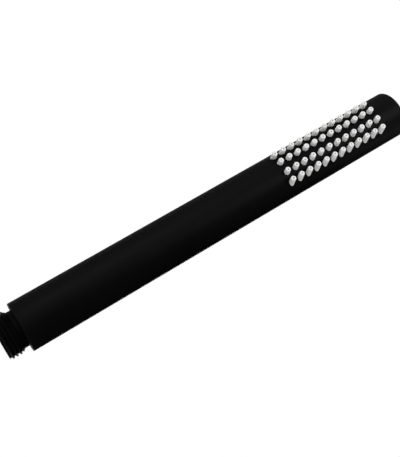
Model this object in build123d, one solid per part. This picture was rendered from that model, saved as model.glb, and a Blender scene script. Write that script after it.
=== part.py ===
from build123d import *
import math
import os

# A stick hand shower: a straight barrel that is grip and spray head in one, with four rows of soft
# nozzles near its closed tip and a hose thread at its foot. The barrel's axis is +Z and the nozzles
# spray towards -Y. The origin is on the axis, in the end face of the hose thread. Millimetres.

# Barrel: a drawn tube with a closed, flat tip.
barrel_diameter = 24.0
barrel_length = 216.0
barrel_wall = 1.3
tip_thickness = 2.5
tip_edge_bevel = 0.5
foot_edge_bevel = 0.3

# Hose thread: half-inch pipe thread, drawn at its major diameter, above it a relief neck.
thread_diameter = 20.955
thread_length = 8.0
thread_lead = 1.2
neck_diameter = 17.8
neck_length = 2.3

# Nozzle field: columns along the barrel, rows set out by their angle round the barrel's skin.
nozzle_columns = 12
nozzle_pitch = 5.15
last_nozzle_from_tip = 16.5
inner_row_angle = 13.6
outer_row_angle = 39.8
inner_nozzle_reach = 3.25
outer_nozzle_reach = 4.5
nozzle_tip_diameter = 2.6
nozzle_root_diameter = 3.0
nozzle_root_sink = 0.2
nozzle_hole_clearance = 0.05
orifice_diameter = 0.9

# The field repeats, so each nozzle, its hole in the barrel and its orifice are drawn with few flat sides.
nozzle_sides = 8
orifice_sides = 6

# Nozzle strip: a curved silicone mat that carries the nozzles, held from behind by a slotted carrier.
strip_thickness = 1.5
strip_end_margin = 4.5
strip_side_margin = 7.0
strip_fit = 0.05
carrier_wall = 1.8
carrier_fit = 0.1
carrier_rim = 4.0
pocket_side_clearance = 1.0
slot_width = 2.2
slots_per_row = 2
slot_bar = 2.0

# Inner pipe: leads the water from the connector to the carrier and keeps the barrel cool. A flat gasket
# seals it at either end.
pipe_wall = 1.6
pipe_fit = 0.2
pipe_gasket_thickness = 1.2

# Connector: a turned piece in the barrel's foot. Its fine screw thread there is drawn as a plain fit.
connector_fit = 0.05
inlet_bore_diameter = 15.0
outlet_bore_diameter = 12.0
shoulder_thickness = 4.0

# Pieces stacked in the inlet bore, from the mouth upwards.
stack_fit = 0.05
inlet_recess = 2.0
strainer_height = 3.0
strainer_floor = 1.0
strainer_wall = 1.1
strainer_slots = 7
strainer_slot_width = 0.8
strainer_slot_pitch = 1.5
restrictor_thickness = 5.0
restrictor_throat_diameter = 5.2
housing_length = 12.2
housing_wall = 1.2
valve_gasket_thickness = 0.8

# Check valve: a sprung poppet that the inlet water lifts off its seat.
seat_thickness = 2.0
seat_bore_diameter = 8.6
poppet_diameter = 10.6
poppet_thickness = 1.2
poppet_hub_diameter = 4.8
poppet_hub_drop = 1.0
stem_diameter = 2.4
stem_above_guide = 1.0
valve_seal_thickness = 1.0
valve_seal_fit = 0.05
seat_gap = 0.02
guide_height = 3.0
guide_ring_wall = 1.0
guide_hub_diameter = 6.8
guide_arms = 3
guide_arm_width = 1.4
guide_running_clearance = 0.2
spring_wire = 0.5
spring_diameter = 5.2
spring_turns = 3

# Levels and radii worked out from the sizes above.
spray_angle = 270
barrel_radius = barrel_diameter / 2
bore_radius = barrel_radius - barrel_wall
barrel_foot = thread_length + neck_length
barrel_tip = barrel_foot + barrel_length
bore_top = barrel_tip - tip_thickness
last_nozzle = barrel_tip - last_nozzle_from_tip
first_nozzle = last_nozzle - (nozzle_columns - 1) * nozzle_pitch
strip_bottom = first_nozzle - strip_end_margin
strip_top = last_nozzle + strip_end_margin
strip_outer_radius = bore_radius - strip_fit
strip_inner_radius = strip_outer_radius - strip_thickness
carrier_bottom = strip_bottom - carrier_rim
strainer_bottom = inlet_recess
restrictor_bottom = strainer_bottom + strainer_height
housing_bottom = restrictor_bottom + restrictor_thickness
housing_top = housing_bottom + housing_length
shoulder = housing_top + valve_gasket_thickness
connector_top = shoulder + shoulder_thickness
pipe_bottom = connector_top + pipe_gasket_thickness
pipe_top = carrier_bottom - pipe_gasket_thickness
pipe_radius = bore_radius - pipe_fit
inlet_radius = inlet_bore_diameter / 2
stack_radius = inlet_radius - stack_fit
housing_bore_radius = stack_radius - housing_wall
seat = housing_bottom + seat_thickness
poppet_bottom = seat + seat_gap + valve_seal_thickness
poppet_top = poppet_bottom + poppet_thickness
guide_bottom = housing_top - guide_height
row_angles = [-outer_row_angle, -inner_row_angle, inner_row_angle, outer_row_angle]
row_reaches = [outer_nozzle_reach, inner_nozzle_reach, inner_nozzle_reach, outer_nozzle_reach]
column_levels = [first_nozzle + column * nozzle_pitch for column in range(nozzle_columns)]


def turned(points):
    """A solid of revolution about the axis, from its half section as (radius, height) points."""
    section = make_face(Polyline(points, close=True))
    return revolve(Plane.XZ * section, Axis.Z)


def ring(outer_radius, inner_radius, bottom, top):
    """A plain ring about the axis."""
    corners = [(inner_radius, bottom), (outer_radius, bottom), (outer_radius, top), (inner_radius, top)]
    return turned(corners)


def arc_band(outer_radius, inner_radius, half_angle, bottom, top):
    """A curved band, centred on the spray side and bounded by two radial planes."""
    start = spray_angle - half_angle
    outer = CenterArc((0, 0), outer_radius, start, 2 * half_angle)
    inner = CenterArc((0, 0), inner_radius, start, 2 * half_angle)
    outline = [outer, Line(outer @ 1, inner @ 1), inner, Line(inner @ 0, outer @ 0)]
    return Pos(0, 0, bottom) * extrude(make_face(outline), top - bottom)


def row_offset(angle):
    """How far a row lies from the barrel's middle plane."""
    return barrel_radius * math.sin(math.radians(angle))


def nozzle_body(angle, reach, growth):
    """One nozzle, parallel to the spray direction, from inside the strip to its flat tip."""
    root_radius = nozzle_root_diameter / 2
    tip_radius = nozzle_tip_diameter / 2
    far_side = abs(row_offset(angle)) + root_radius
    root = math.sqrt(strip_outer_radius**2 - far_side**2) - nozzle_root_sink
    tip = barrel_radius * math.cos(math.radians(angle)) + reach
    side_angle = math.degrees(math.atan2(root_radius - tip_radius, tip - root))
    section = RegularPolygon(root_radius + growth, nozzle_sides)
    body = extrude(section, tip - root, taper=side_angle)
    return Pos(row_offset(angle), -root, 0) * Rot(90, 0, 0) * body


def orifice(angle, reach):
    """The water hole through one nozzle."""
    hole = extrude(RegularPolygon(orifice_diameter / 2, orifice_sides), barrel_radius + reach)
    return Pos(row_offset(angle), 0, 0) * Rot(90, 0, 0) * hole


def nozzle_field(make_one):
    """Every copy of one nozzle feature, over all rows and columns."""
    rows = [make_one(angle, reach) for angle, reach in zip(row_angles, row_reaches)]
    return [Pos(0, 0, level) * feature for level in column_levels for feature in rows]


def strip_half_angle():
    """Half the arc that the strip covers: past the outer nozzles' far sides by the side margin."""
    far_side = row_offset(outer_row_angle) + nozzle_root_diameter / 2
    return math.degrees(math.asin(far_side / strip_outer_radius)) + strip_side_margin


def barrel():
    shell = Cylinder(barrel_radius, barrel_length, align=(Align.CENTER, Align.CENTER, Align.MIN))
    shell = chamfer(shell.edges().group_by(Axis.Z)[-1], tip_edge_bevel)
    shell = chamfer(shell.edges().group_by(Axis.Z)[0], foot_edge_bevel)
    bore_length = barrel_length - tip_thickness
    bore = Cylinder(bore_radius, bore_length, align=(Align.CENTER, Align.CENTER, Align.MIN))
    holes = nozzle_field(lambda angle, reach: nozzle_body(angle, reach, nozzle_hole_clearance))
    return Pos(0, 0, barrel_foot) * (shell - bore) - holes


def nozzle_strip():
    mat = arc_band(strip_outer_radius, strip_inner_radius, strip_half_angle(), strip_bottom, strip_top)
    bodies = nozzle_field(lambda angle, reach: nozzle_body(angle, reach, 0))
    strip_length = strip_top - strip_bottom
    inside = Pos(0, 0, strip_bottom) * Cylinder(
        strip_inner_radius, strip_length, align=(Align.CENTER, Align.CENTER, Align.MIN)
    )
    return mat + bodies - inside - nozzle_field(orifice)


def strip_carrier():
    pocket_radius = strip_inner_radius - strip_fit
    tube = ring(bore_radius - carrier_fit, pocket_radius - carrier_wall, carrier_bottom, bore_top)
    pocket = arc_band(
        barrel_radius,
        pocket_radius,
        strip_half_angle() + pocket_side_clearance,
        strip_bottom - strip_fit,
        strip_top + strip_fit,
    )
    return tube - pocket - carrier_slots()


def carrier_slots():
    """Slots behind each row, straight out from the axis, with a bar left between them."""
    slot_length = (nozzle_columns * nozzle_pitch - (slots_per_row - 1) * slot_bar) / slots_per_row
    slot = Box(slot_width, barrel_radius, slot_length, align=(Align.CENTER, Align.MAX, Align.MIN))
    field_bottom = first_nozzle - nozzle_pitch / 2
    slots = []
    for angle in row_angles:
        nozzle_back = row_offset(angle) / strip_inner_radius
        slot_angle = math.degrees(math.asin(nozzle_back))
        for number in range(slots_per_row):
            level = field_bottom + number * (slot_length + slot_bar)
            slots.append(Pos(0, 0, level) * Rot(0, 0, slot_angle) * slot)
    return slots


def inner_pipe():
    return ring(pipe_radius, pipe_radius - pipe_wall, pipe_bottom, pipe_top)


def lower_pipe_gasket():
    return ring(pipe_radius, pipe_radius - pipe_wall, connector_top, pipe_bottom)


def upper_pipe_gasket():
    return ring(pipe_radius, pipe_radius - pipe_wall, pipe_top, carrier_bottom)


def connector():
    thread_radius = thread_diameter / 2
    body_radius = bore_radius - connector_fit
    return turned(
        [
            (inlet_radius, 0),
            (thread_radius - thread_lead, 0),
            (thread_radius, thread_lead),
            (thread_radius, thread_length),
            (neck_diameter / 2, thread_length),
            (neck_diameter / 2, barrel_foot),
            (body_radius, barrel_foot),
            (body_radius, connector_top),
            (outlet_bore_diameter / 2, connector_top),
            (outlet_bore_diameter / 2, shoulder),
            (inlet_radius, shoulder),
        ]
    )


def strainer():
    floor_radius = stack_radius - strainer_wall
    cup = ring(stack_radius, floor_radius, strainer_bottom, restrictor_bottom)
    floor = ring(stack_radius, 0, strainer_bottom, strainer_bottom + strainer_floor)
    slots = []
    for number in range(strainer_slots):
        offset = (number - (strainer_slots - 1) / 2) * strainer_slot_pitch
        reach = abs(offset) + strainer_slot_width
        length = 2 * math.sqrt(floor_radius**2 - reach**2)
        slots.append(Pos(offset, 0, strainer_bottom) * Box(strainer_slot_width, length, 3 * strainer_floor))
    return cup + floor - slots


def flow_restrictor():
    return ring(stack_radius, restrictor_throat_diameter / 2, restrictor_bottom, housing_bottom)


def valve_housing():
    return turned(
        [
            (seat_bore_diameter / 2, housing_bottom),
            (stack_radius, housing_bottom),
            (stack_radius, housing_top),
            (housing_bore_radius, housing_top),
            (housing_bore_radius, seat),
            (seat_bore_diameter / 2, seat),
        ]
    )


def valve_poppet():
    hub_radius = poppet_hub_diameter / 2
    stem_radius = stem_diameter / 2
    stem_top = housing_top - guide_height + stem_above_guide
    return turned(
        [
            (0, seat - poppet_hub_drop),
            (hub_radius, seat - poppet_hub_drop),
            (hub_radius, poppet_bottom),
            (poppet_diameter / 2, poppet_bottom),
            (poppet_diameter / 2, poppet_top),
            (stem_radius, poppet_top),
            (stem_radius, stem_top),
            (0, stem_top),
        ]
    )


def valve_seal():
    inner_radius = poppet_hub_diameter / 2 + valve_seal_fit
    return ring(poppet_diameter / 2, inner_radius, seat + seat_gap, poppet_bottom)


def valve_guide():
    outer_radius = housing_bore_radius - stack_fit
    rim = Circle(outer_radius) - Circle(outer_radius - guide_ring_wall)
    hub = Circle(guide_hub_diameter / 2)
    arm = Rectangle(outer_radius - guide_ring_wall / 2, guide_arm_width, align=(Align.MIN, Align.CENTER))
    arms = [Rot(0, 0, number * 360 / guide_arms) * arm for number in range(guide_arms)]
    stem_hole = Circle(stem_diameter / 2 + guide_running_clearance)
    section = rim + hub + arms - stem_hole
    return Pos(0, 0, guide_bottom) * extrude(section, guide_height)


def valve_spring():
    bottom = poppet_top + seat_gap + spring_wire / 2
    height = guide_bottom - seat_gap - spring_wire / 2 - bottom
    coil = Helix(height / spring_turns, height, spring_diameter / 2)
    wire = Plane(coil @ 0, x_dir=(1, 0, 0), z_dir=coil % 0) * Rectangle(spring_wire, spring_wire)
    return Pos(0, 0, bottom) * sweep(wire, coil, is_frenet=True)


def valve_gasket():
    return ring(stack_radius, outlet_bore_diameter / 2 + stack_fit, housing_top, shoulder)


pieces = [
    barrel,
    nozzle_strip,
    strip_carrier,
    inner_pipe,
    lower_pipe_gasket,
    upper_pipe_gasket,
    connector,
    strainer,
    flow_restrictor,
    valve_housing,
    valve_poppet,
    valve_seal,
    valve_spring,
    valve_guide,
    valve_gasket,
]

os.makedirs("parts", exist_ok=True)
for piece in pieces:
    export_step(piece(), f"parts/{piece.__name__}.step")
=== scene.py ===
import bpy
import bmesh
import math
from mathutils import Matrix, Vector


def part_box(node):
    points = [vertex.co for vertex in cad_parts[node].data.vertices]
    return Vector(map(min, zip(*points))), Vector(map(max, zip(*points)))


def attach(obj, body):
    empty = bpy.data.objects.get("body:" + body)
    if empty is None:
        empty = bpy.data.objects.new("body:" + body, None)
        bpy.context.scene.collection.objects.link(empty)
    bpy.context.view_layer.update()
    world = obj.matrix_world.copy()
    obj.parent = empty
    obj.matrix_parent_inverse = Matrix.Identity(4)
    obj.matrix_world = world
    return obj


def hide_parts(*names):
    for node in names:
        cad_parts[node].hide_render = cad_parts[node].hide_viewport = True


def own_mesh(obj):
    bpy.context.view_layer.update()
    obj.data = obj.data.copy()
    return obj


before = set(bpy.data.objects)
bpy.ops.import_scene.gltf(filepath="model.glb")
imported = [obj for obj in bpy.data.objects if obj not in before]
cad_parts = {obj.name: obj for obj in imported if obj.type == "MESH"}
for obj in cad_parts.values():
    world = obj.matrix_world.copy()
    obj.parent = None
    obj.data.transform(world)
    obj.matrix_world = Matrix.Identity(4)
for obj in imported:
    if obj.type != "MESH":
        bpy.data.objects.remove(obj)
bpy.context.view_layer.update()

# A stick hand shower in matt black, seen from the spray side and from a little below.
# The axis is +Z, the nozzles spray towards -Y, and every size here is in metres.
MM = 0.001
LEVEL_DIGITS = 6


def levels(node):
    """Lowest and highest level of a solid, to the micrometre."""
    low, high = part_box(node)
    return round(low.z, LEVEL_DIGITS), round(high.z, LEVEL_DIGITS)


# Barrel: a smooth tube with a closed flat tip and softly broken edges.
BARREL_FOOT, BARREL_TIP = levels("barrel")
BORE_TOP = levels("strip_carrier")[1]
BARREL_RADIUS = 12.0 * MM
BARREL_WALL = 1.3 * MM
BORE_RADIUS = BARREL_RADIUS - BARREL_WALL
TIP_EDGE_RADIUS = 0.6 * MM
TIP_EDGE_STEPS = 6
FOOT_EDGE_RADIUS = 0.3 * MM
FOOT_EDGE_STEPS = 4
BARREL_SEGMENTS = 192
BARREL_RINGS = 60

# The silicone mat behind the barrel's wall.
MAT_BOTTOM, MAT_TOP = levels("nozzle_strip")
MAT_FIT = 0.05 * MM
MAT_THICKNESS = 1.5 * MM
MAT_OUTER_RADIUS = BORE_RADIUS - MAT_FIT
MAT_INNER_RADIUS = MAT_OUTER_RADIUS - MAT_THICKNESS
MAT_SIDE_MARGIN = math.radians(7.0)
MAT_END_MARGIN = 4.5 * MM
MAT_ARC_STEPS = 48

# Nozzle field: four rows along the barrel, all parallel to the spray direction.
NOZZLE_COLUMNS = 12
FIRST_NOZZLE = MAT_BOTTOM + MAT_END_MARGIN
LAST_NOZZLE = MAT_TOP - MAT_END_MARGIN
NOZZLE_PITCH = (LAST_NOZZLE - FIRST_NOZZLE) / (NOZZLE_COLUMNS - 1)
NOZZLE_ROOT_RADIUS = 1.5 * MM
NOZZLE_ROOT_SINK = 0.2 * MM
NOZZLE_TIP_RADIUS = 1.3 * MM
NOZZLE_TIP_ROUNDING = 0.55 * MM
NOZZLE_ROUNDING_START_DEGREES = 18
NOZZLE_ROUNDING_STEPS = 4
NOZZLE_RING_SHARE = 0.65
NOZZLE_SEGMENTS = 28

# Water holes: a bore through each nozzle with a soft lip, and a narrower hole through the mat behind it.
ORIFICE_RADIUS = 0.40 * MM
ORIFICE_LIP = 0.14 * MM
LIP_RING_SHARE = 0.3
MAT_HOLE_RADIUS = 0.36 * MM
MAT_HOLE_BACK = 2.0 * MM
MAT_HOLE_FRONT = 3.3 * MM

# Holes in the barrel's wall: each cutter is a little wider than its nozzle and ends past its tip.
HOLE_CLEARANCE = 0.05 * MM
HOLE_PAST_TIP = 1.0 * MM


def nozzle_row(degrees, reach):
    """A row's distance from the middle plane, and how far out its nozzles begin and end."""
    turn = math.radians(degrees)
    offset = BARREL_RADIUS * math.sin(turn)
    root = math.sqrt(MAT_OUTER_RADIUS**2 - (offset + NOZZLE_ROOT_RADIUS)**2) - NOZZLE_ROOT_SINK
    return {"offset": offset, "root": root, "tip": BARREL_RADIUS * math.cos(turn) + reach}


INNER_ROW = nozzle_row(degrees=13.6, reach=3.25 * MM)
OUTER_ROW = nozzle_row(degrees=39.8, reach=4.5 * MM)
MAT_HALF_ANGLE = MAT_SIDE_MARGIN + math.asin((OUTER_ROW["offset"] + NOZZLE_ROOT_RADIUS) / MAT_OUTER_RADIUS)

# Connector: half-inch pipe thread, relief neck, and the body that sits in the barrel's foot.
THREAD_RADIUS = 10.4775 * MM
THREAD_PITCH = 1.8143 * MM
THREAD_DEPTH = 0.98 * MM
THREAD_END = 8.0 * MM
RUN_OUT_START = 6.3 * MM
THREAD_CHAMFER = 1.2 * MM
THREAD_START_ANGLE = math.radians(-30.0)
THREAD_END_MARGIN = 0.01 * MM
INLET_WALL_MARGIN = 0.5 * MM
NECK_RADIUS = 8.9 * MM
CONNECTOR_FIT = 0.05 * MM
CONNECTOR_RADIUS = BORE_RADIUS - CONNECTOR_FIT
CONNECTOR_TOP = levels("connector")[1]
SHOULDER = levels("valve_gasket")[1]
INLET_RADIUS = 7.5 * MM
OUTLET_RADIUS = 6.0 * MM
CONNECTOR_SEGMENTS = 144
RINGS_PER_PITCH = 16

# Check valve spring: round wire between the poppet and its guide.
POPPET_THICKNESS = 1.2 * MM
SPRING_GAP = 0.02 * MM
SPRING_RADIUS = 2.6 * MM
SPRING_WIRE_RADIUS = 0.25 * MM
SPRING_ANCHOR = levels("valve_guide")[0]
SPRING_TOP = SPRING_ANCHOR - SPRING_GAP - SPRING_WIRE_RADIUS
SPRING_BOTTOM = levels("valve_seal")[1] + POPPET_THICKNESS + SPRING_GAP + SPRING_WIRE_RADIUS
SPRING_TURNS = 3
SPRING_STEPS_PER_TURN = 36
SPRING_WIRE_ROUNDNESS = 3

# Meshes: when points count as one, when a ring is only a point on the axis, and which edges stay crisp.
MERGE_DISTANCE = 1e-7
ON_AXIS = 1e-9
BARREL_SHARP_DEGREES = 35
PIECE_SHARP_DEGREES = 40

# Finishes: a shared mottle and grain sets where each lies between its dark and pale colour and
# between its smooth and rough end. Scales are in waves per metre.
MOTTLE_DETAIL = 3.0
GRAIN_DETAIL = 2.0
MOTTLE_SHARE = 0.6
MASK_LOW = 0.3
MASK_HIGH = 0.7
RELIEF_DEPTH = 0.02 * MM
SILICONE_SCATTER = 0.6
SILICONE_SCATTER_SPREAD = (1.0, 1.0, 1.0)
SILICONE_SCATTER_DEPTH = 0.8 * MM
FINISHES = {
    "black_coating": {
        "dark": (0.0018, 0.0018, 0.0018), "pale": (0.0028, 0.0028, 0.0028),
        "smooth": 0.36, "rough": 0.46, "grain": 5200.0, "mottle": 45.0, "bump": 0.35, "specular": 0.032,
    },
    "thread_coating": {
        "dark": (0.0015, 0.0015, 0.0015), "pale": (0.0026, 0.0026, 0.0026),
        "smooth": 0.36, "rough": 0.50, "grain": 4200.0, "mottle": 300.0, "bump": 0.35, "specular": 0.02,
    },
    "nozzle_silicone": {
        "dark": (0.78, 0.78, 0.775), "pale": (0.84, 0.84, 0.835),
        "smooth": 0.46, "rough": 0.58, "grain": 2600.0, "mottle": 260.0, "bump": 0.30, "specular": 0.35,
    },
    "pale_plastic": {
        "dark": (0.62, 0.61, 0.58), "pale": (0.68, 0.67, 0.64),
        "smooth": 0.38, "rough": 0.48, "grain": 3000.0, "mottle": 120.0, "bump": 0.20, "specular": 0.45,
    },
    "valve_plastic": {
        "dark": (0.55, 0.56, 0.57), "pale": (0.62, 0.63, 0.64),
        "smooth": 0.34, "rough": 0.44, "grain": 3200.0, "mottle": 160.0, "bump": 0.20, "specular": 0.45,
    },
    "gasket_rubber": {
        "dark": (0.018, 0.018, 0.018), "pale": (0.030, 0.030, 0.029),
        "smooth": 0.55, "rough": 0.68, "grain": 2400.0, "mottle": 200.0, "bump": 0.40, "specular": 0.35,
    },
    "spring_steel": {
        "dark": (0.56, 0.55, 0.53), "pale": (0.66, 0.65, 0.63),
        "smooth": 0.18, "rough": 0.30, "grain": 6000.0, "mottle": 400.0, "bump": 0.15, "specular": 0.50,
    },
}

# Inner pieces keep their solid shapes and take these finishes.
INNER_FINISHES = {
    "strip_carrier": "pale_plastic",
    "inner_pipe": "pale_plastic",
    "flow_restrictor": "pale_plastic",
    "valve_housing": "valve_plastic",
    "valve_poppet": "valve_plastic",
    "valve_guide": "valve_plastic",
    "strainer": "valve_plastic",
    "lower_pipe_gasket": "gasket_rubber",
    "upper_pipe_gasket": "gasket_rubber",
    "valve_seal": "gasket_rubber",
    "valve_gasket": "gasket_rubber",
}

# Set: an even white, a pale floor whose glow makes up for the lamps' falloff, three soft boxes, and
# cards that give the barrel something darker than white to reflect.
WHITE = (1.0, 1.0, 1.0, 1.0)
AMBIENT_STRENGTH = 0.51
FLOOR_LEVEL = -120.0 * MM
FLOOR_HALF_WIDTH = 3.0
FLOOR_TONE = 0.80
FLOOR_ROUGHNESS = 0.9
GLOW_NEAR = {"distance": 0.4, "strength": 0.36}
GLOW_FAR = {"distance": 0.95, "strength": 0.61}
CARD_ROUGHNESS = 1.0
SOFT_BOXES = {
    "key_softbox": {
        "place": (-0.50, -0.84, 0.20), "aim": (0.0, 0.0, 0.10), "width": 0.7, "height": 0.5, "power": 2.2,
    },
    "front_softbox": {
        "place": (0.27, -0.82, 0.79), "aim": (0.0, 0.0, 0.20), "width": 0.6, "height": 0.35, "power": 4.1,
    },
    "rear_softbox": {
        "place": (-0.08, 0.95, 0.28), "aim": (0.0, 0.0, 0.12), "width": 0.30, "height": 0.7, "power": 3.0,
    },
}
CARDS = {
    "side_card": {
        "tone": 0.004,
        "corners": [(0.22, -0.62, -0.11), (0.50, 0.10, -0.11), (0.50, 0.10, 0.45), (0.22, -0.62, 0.28)],
    },
    "back_card": {
        "tone": 0.004,
        "corners": [(0.50, 0.10, -0.11), (0.05, 0.80, -0.11), (0.05, 0.80, 0.85), (0.50, 0.10, 0.45)],
    },
    "far_card": {
        "tone": 0.30,
        "corners": [(-0.10, 0.80, -0.11), (-0.40, 0.55, -0.11), (-0.40, 0.55, 0.80), (-0.10, 0.80, 0.60)],
    },
    "left_card": {
        "tone": 0.42,
        "corners": [(-0.40, 0.55, -0.11), (-0.85, -0.15, -0.11), (-0.85, -0.15, 1.10), (-0.40, 0.55, 0.80)],
    },
}

# Camera, from the photograph's perspective, with its lens in millimetres as usual.
CAMERA_PLACE = Vector((99.326, -329.171, -3.344)) * MM
CAMERA_AIM = Vector((1.855, 0.548, 104.741)) * MM
CAMERA_ROLL = math.radians(59.872)
CAMERA_LENS = 59.612
CAMERA_NEAR = 0.01
CAMERA_FAR = 20.0


def new_material(name):
    """A new material with a Principled BSDF."""
    material = bpy.data.materials.new(name)
    material.use_nodes = True
    return material


def shader_of(material):
    """A material's Principled BSDF."""
    return material.node_tree.nodes["Principled BSDF"]


def math_node(tree, operation, first, second=None):
    """A Math node in a tree, fed by sockets or plain numbers."""
    node = tree.nodes.new("ShaderNodeMath")
    node.operation = operation
    for socket, value in zip(node.inputs, (first, second)):
        if value is None:
            continue
        if isinstance(value, (int, float)):
            socket.default_value = value
        else:
            tree.links.new(value, socket)
    return node.outputs["Value"]


def surface_variation_group():
    """Shared effect: a slow mottle and a fine grain, as a mask and a height."""
    group = bpy.data.node_groups.new("surface_variation", "ShaderNodeTree")
    for label in ("Mottle scale", "Grain scale", "Mottle share"):
        group.interface.new_socket(label, in_out="INPUT", socket_type="NodeSocketFloat")
    for label in ("Mask", "Height"):
        group.interface.new_socket(label, in_out="OUTPUT", socket_type="NodeSocketFloat")
    nodes, links = group.nodes, group.links
    given = nodes.new("NodeGroupInput")
    result = nodes.new("NodeGroupOutput")
    place = nodes.new("ShaderNodeTexCoord")
    mottle = nodes.new("ShaderNodeTexNoise")
    mottle.inputs["Detail"].default_value = MOTTLE_DETAIL
    grain = nodes.new("ShaderNodeTexNoise")
    grain.inputs["Detail"].default_value = GRAIN_DETAIL
    blend = nodes.new("ShaderNodeMix")
    blend.data_type = "FLOAT"
    links.new(place.outputs["Object"], mottle.inputs["Vector"])
    links.new(place.outputs["Object"], grain.inputs["Vector"])
    links.new(given.outputs["Mottle scale"], mottle.inputs["Scale"])
    links.new(given.outputs["Grain scale"], grain.inputs["Scale"])
    links.new(given.outputs["Mottle share"], blend.inputs["Factor"])
    links.new(grain.outputs["Fac"], blend.inputs["A"])
    links.new(mottle.outputs["Fac"], blend.inputs["B"])
    links.new(blend.outputs["Result"], result.inputs["Mask"])
    links.new(grain.outputs["Fac"], result.inputs["Height"])
    return group


def varied_finish(name, variation, dark, pale, smooth, rough, grain, mottle, bump, specular):
    """A finish whose colour, roughness and fine relief all follow the shared surface variation."""
    material = new_material(name)
    shader = shader_of(material)
    nodes, links = material.node_tree.nodes, material.node_tree.links
    vary = nodes.new("ShaderNodeGroup")
    vary.node_tree = variation
    vary.inputs["Mottle scale"].default_value = mottle
    vary.inputs["Grain scale"].default_value = grain
    vary.inputs["Mottle share"].default_value = MOTTLE_SHARE
    colour = nodes.new("ShaderNodeValToRGB")
    for stop, position, tone in zip(colour.color_ramp.elements, (MASK_LOW, MASK_HIGH), (dark, pale)):
        stop.position = position
        stop.color = (*tone, 1.0)
    gloss = nodes.new("ShaderNodeMapRange")
    gloss.inputs["From Min"].default_value = MASK_LOW
    gloss.inputs["From Max"].default_value = MASK_HIGH
    gloss.inputs["To Min"].default_value = smooth
    gloss.inputs["To Max"].default_value = rough
    relief = nodes.new("ShaderNodeBump")
    relief.inputs["Strength"].default_value = bump
    relief.inputs["Distance"].default_value = RELIEF_DEPTH
    links.new(vary.outputs["Mask"], colour.inputs["Fac"])
    links.new(vary.outputs["Mask"], gloss.inputs["Value"])
    links.new(vary.outputs["Height"], relief.inputs["Height"])
    links.new(colour.outputs["Color"], shader.inputs["Base Color"])
    links.new(gloss.outputs["Result"], shader.inputs["Roughness"])
    links.new(relief.outputs["Normal"], shader.inputs["Normal"])
    shader.inputs["Specular IOR Level"].default_value = specular
    return material


def make_finishes():
    """Every finish by name, with the silicone's soft depth and the spring's bare metal."""
    variation = surface_variation_group()
    made = {name: varied_finish(name, variation, **look) for name, look in FINISHES.items()}
    silicone = shader_of(made["nozzle_silicone"])
    silicone.inputs["Subsurface Weight"].default_value = SILICONE_SCATTER
    silicone.inputs["Subsurface Radius"].default_value = SILICONE_SCATTER_SPREAD
    silicone.inputs["Subsurface Scale"].default_value = SILICONE_SCATTER_DEPTH
    shader_of(made["spring_steel"]).inputs["Metallic"].default_value = 1.0
    return made


def add_object(name, data):
    """A new object at the origin for a mesh, a curve, a lamp or a camera."""
    thing = bpy.data.objects.new(name, data)
    bpy.context.scene.collection.objects.link(thing)
    return thing


def finished_mesh(work, name):
    """A plain mesh from a bmesh, with its faces turned outwards."""
    bmesh.ops.recalc_face_normals(work, faces=work.faces)
    mesh = bpy.data.meshes.new(name)
    work.to_mesh(mesh)
    work.free()
    return mesh


def clean_mesh(mesh):
    """Merges doubles and turns the faces outwards."""
    work = bmesh.new()
    work.from_mesh(mesh)
    bmesh.ops.remove_doubles(work, verts=work.verts, dist=MERGE_DISTANCE)
    bmesh.ops.recalc_face_normals(work, faces=work.faces)
    work.to_mesh(mesh)
    work.free()


def smooth_piece(mesh, sharp_degrees):
    """Smooth shading that breaks at true edges."""
    mesh.polygons.foreach_set("use_smooth", [True] * len(mesh.polygons))
    mesh.set_sharp_from_angle(angle=math.radians(sharp_degrees))
    mesh.update()


def turned_mesh(name, section, segments):
    """A closed surface turned about +Z from a closed half section of (radius, height) points."""
    work = bmesh.new()
    angles = [2 * math.pi * step / segments for step in range(segments)]
    rings = []
    for radius, height in section:
        if radius < ON_AXIS:
            places = [(0.0, 0.0, height)]
        else:
            places = [(radius * math.cos(angle), radius * math.sin(angle), height) for angle in angles]
        rings.append([work.verts.new(place) for place in places])
    for lower, upper in zip(rings, rings[1:] + rings[:1]):
        if len(lower) == 1 and len(upper) == 1:
            continue
        for step in range(segments):
            after = (step + 1) % segments
            corners = [lower[step % len(lower)]]
            if len(lower) > 1:
                corners.append(lower[after])
            if len(upper) > 1:
                corners.append(upper[after])
            corners.append(upper[step % len(upper)])
            work.faces.new(corners)
    return finished_mesh(work, name)


def rounded_corner(centre_radius, centre_height, radius, start, end, steps):
    """Points along a rounded edge of a half section, angles in degrees from straight outwards."""
    points = []
    for step in range(steps + 1):
        angle = math.radians(start + (end - start) * step / steps)
        points.append((centre_radius + radius * math.cos(angle), centre_height + radius * math.sin(angle)))
    return points


def straight_run(radius, start, end, steps):
    """Points between two levels of a straight wall in a half section, without its ends."""
    return [(radius, start + (end - start) * step / steps) for step in range(1, steps)]


def new_tree(name, inputs):
    """A Geometry Nodes tree with named inputs and one geometry output."""
    tree = bpy.data.node_groups.new(name, "GeometryNodeTree")
    for label, kind in inputs.items():
        tree.interface.new_socket(label, in_out="INPUT", socket_type=kind)
    tree.interface.new_socket("Geometry", in_out="OUTPUT", socket_type="NodeSocketGeometry")
    given = tree.nodes.new("NodeGroupInput")
    result = tree.nodes.new("NodeGroupOutput")
    return tree, given, result


def finish_tree(tree, given, result, geometry):
    """Ends a tree in Realize Instances and Set Material."""
    realize = tree.nodes.new("GeometryNodeRealizeInstances")
    paint = tree.nodes.new("GeometryNodeSetMaterial")
    tree.links.new(geometry, realize.inputs["Geometry"])
    tree.links.new(realize.outputs["Geometry"], paint.inputs["Geometry"])
    tree.links.new(given.outputs["Finish"], paint.inputs["Material"])
    tree.links.new(paint.outputs["Geometry"], result.inputs["Geometry"])


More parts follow.
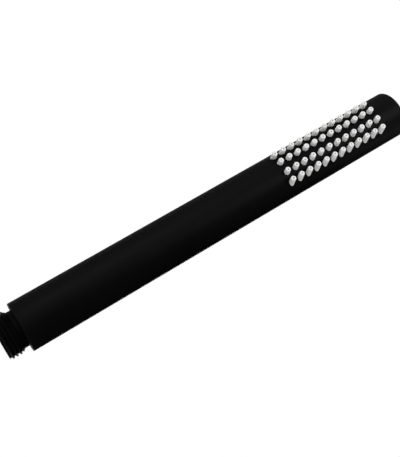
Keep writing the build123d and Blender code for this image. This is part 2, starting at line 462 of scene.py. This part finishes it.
def apply_tree(thing, tree, values):
    """Runs a tree on an object with the given inputs and keeps the result as its plain mesh."""
    modifier = thing.modifiers.new(tree.name, "NODES")
    modifier.node_group = tree
    for item in tree.interface.items_tree:
        if item.item_type == "SOCKET" and item.in_out == "INPUT" and item.name in values:
            modifier[item.identifier] = values[item.name]
    bpy.context.view_layer.update()
    evaluated = thing.evaluated_get(bpy.context.evaluated_depsgraph_get())
    mesh = bpy.data.meshes.new_from_object(evaluated)
    thing.modifiers.clear()
    thing.data = mesh


# Inputs that the barrel's holes and the nozzle strip share, and their sizes.
FIELD_INPUTS = {
    "Geometry": "NodeSocketGeometry",
    "Inner nozzle": "NodeSocketObject",
    "Outer nozzle": "NodeSocketObject",
    "Inner hole": "NodeSocketObject",
    "Outer hole": "NodeSocketObject",
    "Inner offset": "NodeSocketFloat",
    "Outer offset": "NodeSocketFloat",
    "First level": "NodeSocketFloat",
    "Pitch": "NodeSocketFloat",
    "Columns": "NodeSocketInt",
    "Finish": "NodeSocketMaterial",
}
FIELD_SIZES = {
    "Inner offset": INNER_ROW["offset"],
    "Outer offset": OUTER_ROW["offset"],
    "First level": FIRST_NOZZLE,
    "Pitch": NOZZLE_PITCH,
    "Columns": NOZZLE_COLUMNS,
}


def row_of_instances(tree, given, side, row, part):
    """One row of nozzles or holes along the barrel, on the side of the middle plane that side gives."""
    start = tree.nodes.new("ShaderNodeCombineXYZ")
    step = tree.nodes.new("ShaderNodeCombineXYZ")
    line = tree.nodes.new("GeometryNodeMeshLine")
    place = tree.nodes.new("GeometryNodeInstanceOnPoints")
    source = tree.nodes.new("GeometryNodeObjectInfo")
    tree.links.new(math_node(tree, "MULTIPLY", given.outputs[f"{row} offset"], side), start.inputs["X"])
    tree.links.new(given.outputs["First level"], start.inputs["Z"])
    tree.links.new(given.outputs["Pitch"], step.inputs["Z"])
    tree.links.new(given.outputs["Columns"], line.inputs["Count"])
    tree.links.new(start.outputs["Vector"], line.inputs["Start Location"])
    tree.links.new(step.outputs["Vector"], line.inputs["Offset"])
    tree.links.new(given.outputs[f"{row} {part}"], source.inputs["Object"])
    tree.links.new(line.outputs["Mesh"], place.inputs["Points"])
    tree.links.new(source.outputs["Geometry"], place.inputs["Instance"])
    return place.outputs["Instances"]


def field_of_instances(tree, given, part):
    """All four rows of the nozzle field, with a nozzle or a hole at each place, realized."""
    join = tree.nodes.new("GeometryNodeJoinGeometry")
    for side in (-1.0, 1.0):
        for row in ("Inner", "Outer"):
            tree.links.new(row_of_instances(tree, given, side, row, part), join.inputs["Geometry"])
    realize = tree.nodes.new("GeometryNodeRealizeInstances")
    tree.links.new(join.outputs["Geometry"], realize.inputs["Geometry"])
    return realize.outputs["Geometry"]


def exact_boolean(tree, operation):
    """A Mesh Boolean node with the exact solver."""
    node = tree.nodes.new("GeometryNodeMeshBoolean")
    node.operation = operation
    node.solver = "EXACT"
    return node


def with_holes_cut(tree, given, geometry):
    """A closed form with the four rows of holes cut out of it."""
    cut = exact_boolean(tree, "DIFFERENCE")
    tree.links.new(geometry, cut.inputs["Mesh 1"])
    tree.links.new(field_of_instances(tree, given, "hole"), cut.inputs["Mesh 2"])
    return cut.outputs["Mesh"]


def nozzle_holes_tree():
    """The plain barrel comes in, and the four rows of holes are cut out of its wall."""
    tree, given, result = new_tree("nozzle_holes", FIELD_INPUTS)
    finish_tree(tree, given, result, with_holes_cut(tree, given, given.outputs["Geometry"]))
    return tree


def nozzle_field_tree():
    """The mat comes in, the four rows of nozzles are fused to it, and their water holes are opened."""
    tree, given, result = new_tree("nozzle_field", FIELD_INPUTS)
    fuse = exact_boolean(tree, "UNION")
    tree.links.new(given.outputs["Geometry"], fuse.inputs["Mesh 2"])
    tree.links.new(field_of_instances(tree, given, "nozzle"), fuse.inputs["Mesh 2"])
    finish_tree(tree, given, result, with_holes_cut(tree, given, fuse.outputs["Mesh"]))
    return tree


def screw_thread_tree():
    """The plain turned connector comes in, and its thread zone is drawn in along a helix."""
    tree, given, result = new_tree("screw_thread", {
        "Geometry": "NodeSocketGeometry",
        "Pitch": "NodeSocketFloat",
        "Depth": "NodeSocketFloat",
        "Thread end": "NodeSocketFloat",
        "Run-out start": "NodeSocketFloat",
        "Neck radius": "NodeSocketFloat",
        "Bore radius": "NodeSocketFloat",
        "Major radius": "NodeSocketFloat",
        "Start angle": "NodeSocketFloat",
        "Finish": "NodeSocketMaterial",
    })
    size = given.outputs

    def calc(operation, first, second=None):
        """A Math node in this tree."""
        return math_node(tree, operation, first, second)

    place = tree.nodes.new("GeometryNodeInputPosition")
    split = tree.nodes.new("ShaderNodeSeparateXYZ")
    tree.links.new(place.outputs["Position"], split.inputs["Vector"])
    x, y, z = split.outputs["X"], split.outputs["Y"], split.outputs["Z"]
    radius = calc("SQRT", calc("ADD", calc("MULTIPLY", x, x), calc("MULTIPLY", y, y)))

    # The thread itself rises and falls between its root and its crest along the helix.
    round_angle = calc("ADD", calc("ARCTAN2", y, x), size["Start angle"])
    climb = calc("MULTIPLY", calc("DIVIDE", z, size["Pitch"]), 2 * math.pi)
    wave = calc("COSINE", calc("SUBTRACT", climb, round_angle))
    trough = calc("MULTIPLY", calc("SUBTRACT", 1.0, wave), 0.5)
    thread_radius = calc("SUBTRACT", size["Major radius"], calc("MULTIPLY", trough, size["Depth"]))

    # The run-out falls from the major radius to the neck's.
    run_out_length = calc("SUBTRACT", size["Thread end"], size["Run-out start"])
    run_out_left = calc("DIVIDE", calc("SUBTRACT", size["Thread end"], z), run_out_length)
    above_neck = calc("SUBTRACT", size["Major radius"], size["Neck radius"])
    run_out_radius = calc("ADD", size["Neck radius"], calc("MULTIPLY", run_out_left, above_neck))

    # Only the outer wall up to the thread's end is drawn in.
    new_radius = calc("MINIMUM", calc("MINIMUM", radius, thread_radius), run_out_radius)
    in_zone = calc("LESS_THAN", z, calc("ADD", size["Thread end"], THREAD_END_MARGIN))
    outside = calc("GREATER_THAN", radius, calc("ADD", size["Bore radius"], INLET_WALL_MARGIN))
    pull = calc("DIVIDE", new_radius, radius)
    moved = tree.nodes.new("ShaderNodeCombineXYZ")
    tree.links.new(calc("MULTIPLY", x, pull), moved.inputs["X"])
    tree.links.new(calc("MULTIPLY", y, pull), moved.inputs["Y"])
    tree.links.new(z, moved.inputs["Z"])
    shape = tree.nodes.new("GeometryNodeSetPosition")
    tree.links.new(size["Geometry"], shape.inputs["Geometry"])
    tree.links.new(calc("MULTIPLY", in_zone, outside), shape.inputs["Selection"])
    tree.links.new(moved.outputs["Vector"], shape.inputs["Position"])
    finish_tree(tree, given, result, shape.outputs["Geometry"])
    return tree


def barrel_section():
    """Closed half section of the barrel: up the outside, over the rounded tip and down the bore."""
    low = BARREL_FOOT + FOOT_EDGE_RADIUS
    high = BARREL_TIP - TIP_EDGE_RADIUS
    return [
        *rounded_corner(BARREL_RADIUS - FOOT_EDGE_RADIUS, low, FOOT_EDGE_RADIUS, -90, 0, FOOT_EDGE_STEPS),
        *straight_run(BARREL_RADIUS, low, high, BARREL_RINGS),
        *rounded_corner(BARREL_RADIUS - TIP_EDGE_RADIUS, high, TIP_EDGE_RADIUS, 0, 90, TIP_EDGE_STEPS),
        (BARREL_RADIUS / 2, BARREL_TIP),
        (0.0, BARREL_TIP),
        (0.0, BORE_TOP),
        (BORE_RADIUS, BORE_TOP),
        *straight_run(BORE_RADIUS, BORE_TOP, BARREL_FOOT, BARREL_RINGS),
        (BORE_RADIUS, BARREL_FOOT),
    ]


def connector_section():
    """Closed half section of the connector, with close rings where the thread will be drawn in."""
    end_radius = THREAD_RADIUS - THREAD_CHAMFER
    rings = int(RINGS_PER_PITCH * THREAD_END / THREAD_PITCH)
    thread_levels = [THREAD_END * ring / rings for ring in range(1, rings + 1)]
    return [
        (INLET_RADIUS, 0.0),
        (end_radius, 0.0),
        *[(min(THREAD_RADIUS, end_radius + level), level) for level in thread_levels],
        (NECK_RADIUS, BARREL_FOOT),
        (CONNECTOR_RADIUS, BARREL_FOOT),
        (CONNECTOR_RADIUS, CONNECTOR_TOP),
        (OUTLET_RADIUS, CONNECTOR_TOP),
        (OUTLET_RADIUS, SHOULDER),
        (INLET_RADIUS, SHOULDER),
    ]


def row_template(name, section, row):
    """A turned form laid along -Y, with its level zero at the nozzle roots of a row."""
    mesh = turned_mesh(name, section, NOZZLE_SEGMENTS)
    mesh.transform(Matrix.Translation((0.0, -row["root"], 0.0)) @ Matrix.Rotation(math.radians(90), 4, "X"))
    return add_object(name, mesh)


def nozzle_template(name, row):
    """One nozzle with a rounded flat tip and its water hole."""
    length = row["tip"] - row["root"]
    slope = (NOZZLE_ROOT_RADIUS - NOZZLE_TIP_RADIUS) / length
    shoulder = length - NOZZLE_TIP_ROUNDING
    return row_template(name, [
        (ORIFICE_RADIUS, 0.0),
        (NOZZLE_ROOT_RADIUS, 0.0),
        (NOZZLE_TIP_RADIUS + slope * length * (1 - NOZZLE_RING_SHARE), length * NOZZLE_RING_SHARE),
        (NOZZLE_TIP_RADIUS + slope * NOZZLE_TIP_ROUNDING, shoulder),
        *rounded_corner(
            NOZZLE_TIP_RADIUS - NOZZLE_TIP_ROUNDING, shoulder, NOZZLE_TIP_ROUNDING,
            NOZZLE_ROUNDING_START_DEGREES, 90, NOZZLE_ROUNDING_STEPS),
        (ORIFICE_RADIUS + ORIFICE_LIP, length),
        (ORIFICE_RADIUS + LIP_RING_SHARE * ORIFICE_LIP, length - LIP_RING_SHARE * ORIFICE_LIP),
        (ORIFICE_RADIUS, length - ORIFICE_LIP),
    ], row)


def wall_hole_template(name, row):
    """The tapered cutter for one nozzle's hole in the barrel's wall."""
    length = row["tip"] - row["root"]
    slope = (NOZZLE_ROOT_RADIUS - NOZZLE_TIP_RADIUS) / length
    root_radius = NOZZLE_ROOT_RADIUS + HOLE_CLEARANCE
    end = length + HOLE_PAST_TIP
    return row_template(name, [
        (0.0, 0.0),
        (root_radius, 0.0),
        (root_radius - slope * end, end),
        (0.0, end),
    ], row)


def water_hole_template(name, row):
    """The cutter that opens a nozzle's water hole through the mat."""
    return row_template(name, [
        (0.0, -MAT_HOLE_BACK),
        (MAT_HOLE_RADIUS, -MAT_HOLE_BACK),
        (MAT_HOLE_RADIUS, MAT_HOLE_FRONT),
        (0.0, MAT_HOLE_FRONT),
    ], row)


def silicone_mat_mesh():
    """The curved mat behind the barrel's wall, as a closed band."""
    work = bmesh.new()
    outline = (
        (MAT_INNER_RADIUS, MAT_BOTTOM),
        (MAT_OUTER_RADIUS, MAT_BOTTOM),
        (MAT_OUTER_RADIUS, MAT_TOP),
        (MAT_INNER_RADIUS, MAT_TOP),
    )
    rims = []
    for step in range(MAT_ARC_STEPS + 1):
        angle = -math.pi / 2 - MAT_HALF_ANGLE + 2 * MAT_HALF_ANGLE * step / MAT_ARC_STEPS
        places = [(radius * math.cos(angle), radius * math.sin(angle), level) for radius, level in outline]
        rims.append([work.verts.new(place) for place in places])
    for before, after in zip(rims, rims[1:]):
        for corner in range(len(outline)):
            beside = (corner + 1) % len(outline)
            work.faces.new((before[corner], before[beside], after[beside], after[corner]))
    work.faces.new(rims[0])
    work.faces.new(rims[-1])
    return finished_mesh(work, "silicone_mat")


def spring_mesh():
    """The round-wire coil of the check valve, with closed ends."""
    curve = bpy.data.curves.new("spring_path", "CURVE")
    curve.dimensions = "3D"
    curve.bevel_depth = SPRING_WIRE_RADIUS
    curve.bevel_resolution = SPRING_WIRE_ROUNDNESS
    curve.use_fill_caps = True
    line = curve.splines.new("POLY")
    steps = SPRING_STEPS_PER_TURN * SPRING_TURNS
    line.points.add(steps)
    for step, point in enumerate(line.points):
        angle = 2 * math.pi * SPRING_TURNS * step / steps
        level = SPRING_BOTTOM + (SPRING_TOP - SPRING_BOTTOM) * step / steps
        point.co = (SPRING_RADIUS * math.cos(angle), SPRING_RADIUS * math.sin(angle), level, 1.0)
    thing = add_object("spring_path", curve)
    bpy.context.view_layer.update()
    mesh = bpy.data.meshes.new_from_object(thing.evaluated_get(bpy.context.evaluated_depsgraph_get()))
    bpy.data.objects.remove(thing)
    clean_mesh(mesh)
    return mesh


def make_barrel(finish):
    """The barrel, with its nozzle holes."""
    templates = {
        "Inner hole": wall_hole_template("inner_hole", INNER_ROW),
        "Outer hole": wall_hole_template("outer_hole", OUTER_ROW),
    }
    barrel = add_object("barrel_shell", turned_mesh("barrel_shell", barrel_section(), BARREL_SEGMENTS))
    apply_tree(barrel, nozzle_holes_tree(), {**FIELD_SIZES, **templates, "Finish": finish})
    for template in templates.values():
        bpy.data.objects.remove(template)
    clean_mesh(barrel.data)
    smooth_piece(barrel.data, BARREL_SHARP_DEGREES)
    return barrel


def make_nozzle_rows(finish):
    """The nozzle strip: the mat and its nozzles in one moulding."""
    templates = {
        "Inner nozzle": nozzle_template("inner_nozzle", INNER_ROW),
        "Outer nozzle": nozzle_template("outer_nozzle", OUTER_ROW),
        "Inner hole": water_hole_template("inner_water", INNER_ROW),
        "Outer hole": water_hole_template("outer_water", OUTER_ROW),
    }
    strip = add_object("nozzle_rows", silicone_mat_mesh())
    apply_tree(strip, nozzle_field_tree(), {**FIELD_SIZES, **templates, "Finish": finish})
    for template in templates.values():
        bpy.data.objects.remove(template)
    clean_mesh(strip.data)
    smooth_piece(strip.data, PIECE_SHARP_DEGREES)
    return strip


def make_connector(finish):
    """The connector with its screw thread."""
    plain = turned_mesh("threaded_connector", connector_section(), CONNECTOR_SEGMENTS)
    connector = add_object("threaded_connector", plain)
    apply_tree(connector, screw_thread_tree(), {
        "Pitch": THREAD_PITCH,
        "Depth": THREAD_DEPTH,
        "Thread end": THREAD_END,
        "Run-out start": RUN_OUT_START,
        "Neck radius": NECK_RADIUS,
        "Bore radius": INLET_RADIUS,
        "Major radius": THREAD_RADIUS,
        "Start angle": THREAD_START_ANGLE,
        "Finish": finish,
    })
    smooth_piece(connector.data, PIECE_SHARP_DEGREES)
    return connector


def make_spring(finish):
    """The check valve's spring."""
    spring = add_object("valve_coil", spring_mesh())
    spring.data.materials.clear()
    spring.data.materials.append(finish)
    smooth_piece(spring.data, PIECE_SHARP_DEGREES)
    return spring


def seen_directly(tree):
    """A factor that is 1 for camera, glossy and transmission rays."""
    path = tree.nodes.new("ShaderNodeLightPath")
    eye_or_gloss = math_node(tree, "MAXIMUM", path.outputs["Is Camera Ray"], path.outputs["Is Glossy Ray"])
    return math_node(tree, "MAXIMUM", eye_or_gloss, path.outputs["Is Transmission Ray"])


def white_surroundings():
    """White to the eye and in reflections, with a modest even light for everything else."""
    world = bpy.data.worlds.new("white_surroundings")
    world.use_nodes = True
    tree = world.node_tree
    ambient = tree.nodes["Background"]
    ambient.inputs["Color"].default_value = WHITE
    ambient.inputs["Strength"].default_value = AMBIENT_STRENGTH
    white = tree.nodes.new("ShaderNodeBackground")
    white.inputs["Color"].default_value = WHITE
    white.inputs["Strength"].default_value = 1.0
    choose = tree.nodes.new("ShaderNodeMixShader")
    tree.links.new(seen_directly(tree), choose.inputs["Fac"])
    tree.links.new(ambient.outputs["Background"], choose.inputs[1])
    tree.links.new(white.outputs["Background"], choose.inputs[2])
    tree.links.new(choose.outputs["Shader"], tree.nodes["World Output"].inputs["Surface"])
    bpy.context.scene.world = world


def matt_paint(name, tone, roughness):
    """A plain grey with no gloss, for the set."""
    material = new_material(name)
    shader = shader_of(material)
    shader.inputs["Base Color"].default_value = (tone, tone, tone, 1.0)
    shader.inputs["Roughness"].default_value = roughness
    shader.inputs["Specular IOR Level"].default_value = 0.0
    return material


def flat_panel(name, corners, material):
    """One flat four-cornered panel of the set."""
    mesh = bpy.data.meshes.new(name)
    mesh.from_pydata(corners, [], [(0, 1, 2, 3)])
    mesh.materials.append(material)
    return add_object(name, mesh)


def pale_floor():
    """A plain pale floor that reads as white and still takes the shadow."""
    material = matt_paint("floor_paint", FLOOR_TONE, FLOOR_ROUGHNESS)
    tree = material.node_tree
    place = tree.nodes.new("ShaderNodeTexCoord")
    distance = tree.nodes.new("ShaderNodeVectorMath")
    distance.operation = "LENGTH"
    made_up = tree.nodes.new("ShaderNodeMapRange")
    made_up.inputs["From Min"].default_value = GLOW_NEAR["distance"]
    made_up.inputs["From Max"].default_value = GLOW_FAR["distance"]
    made_up.inputs["To Min"].default_value = GLOW_NEAR["strength"]
    made_up.inputs["To Max"].default_value = GLOW_FAR["strength"]
    glow = tree.nodes.new("ShaderNodeEmission")
    glow.inputs["Color"].default_value = WHITE
    both = tree.nodes.new("ShaderNodeAddShader")
    strength = math_node(tree, "MULTIPLY", seen_directly(tree), made_up.outputs["Result"])
    tree.links.new(place.outputs["Object"], distance.inputs[0])
    tree.links.new(distance.outputs["Value"], made_up.inputs["Value"])
    tree.links.new(strength, glow.inputs["Strength"])
    tree.links.new(shader_of(material).outputs["BSDF"], both.inputs[0])
    tree.links.new(glow.outputs["Emission"], both.inputs[1])
    tree.links.new(both.outputs["Shader"], tree.nodes["Material Output"].inputs["Surface"])
    half = FLOOR_HALF_WIDTH
    corners = [(-half, -half), (half, -half), (half, half), (-half, half)]
    floor = flat_panel("floor", [(x, y, FLOOR_LEVEL) for x, y in corners], material)


def reflected_card(name, tone, corners):
    """A card beside the set that shows only in reflections."""
    card = flat_panel(name, corners, matt_paint(name + "_cloth", tone, CARD_ROUGHNESS))
    card.visible_camera = False
    card.visible_diffuse = False
    card.visible_shadow = False


def soft_box(name, place, aim, width, height, power):
    """A rectangular soft box that the camera doesn't see."""
    lamp = bpy.data.lights.new(name, "AREA")
    lamp.shape = "RECTANGLE"
    lamp.size = width
    lamp.size_y = height
    lamp.energy = power
    thing = add_object(name, lamp)
    thing.location = place
    thing.rotation_euler = (Vector(aim) - Vector(place)).to_track_quat("-Z", "Y").to_euler()
    thing.visible_camera = False


def photo_camera():
    """The camera at the photograph's viewing angle."""
    camera_data = bpy.data.cameras.new("camera")
    camera_data.lens = CAMERA_LENS
    camera_data.clip_start = CAMERA_NEAR
    camera_data.clip_end = CAMERA_FAR
    camera = add_object("camera", camera_data)
    look = (CAMERA_AIM - CAMERA_PLACE).to_track_quat("-Z", "Y").to_matrix().to_4x4()
    camera.matrix_world = Matrix.Translation(CAMERA_PLACE) @ look @ Matrix.Rotation(CAMERA_ROLL, 4, "Z")
    bpy.context.scene.camera = camera


# The object: four pieces with finer shapes than their solids, and the inner pieces as they are.
finishes = make_finishes()
barrel_shell = make_barrel(finishes["black_coating"])
nozzle_rows = make_nozzle_rows(finishes["nozzle_silicone"])
threaded_connector = make_connector(finishes["thread_coating"])
valve_coil = make_spring(finishes["spring_steel"])
for piece, node, slot in (
    (barrel_shell, "barrel", "black_coating"),
    (nozzle_rows, "nozzle_strip", "nozzle_silicone"),
    (threaded_connector, "connector", "black_coating"),
    (valve_coil, "valve_spring", "spring_steel"),
):
    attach(piece, "handset")
    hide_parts(node)
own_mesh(valve_coil)
for node, finish in INNER_FINISHES.items():
    for material_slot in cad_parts[node].material_slots:
        material_slot.material = finishes[finish]

# The set and the camera.
white_surroundings()
pale_floor()
for name, facts in SOFT_BOXES.items():
    soft_box(name, **facts)
for name, facts in CARDS.items():
    reflected_card(name, **facts)
photo_camera()
bpy.context.scene.view_settings.view_transform = "Standard"

bpy.context.view_layer.update()
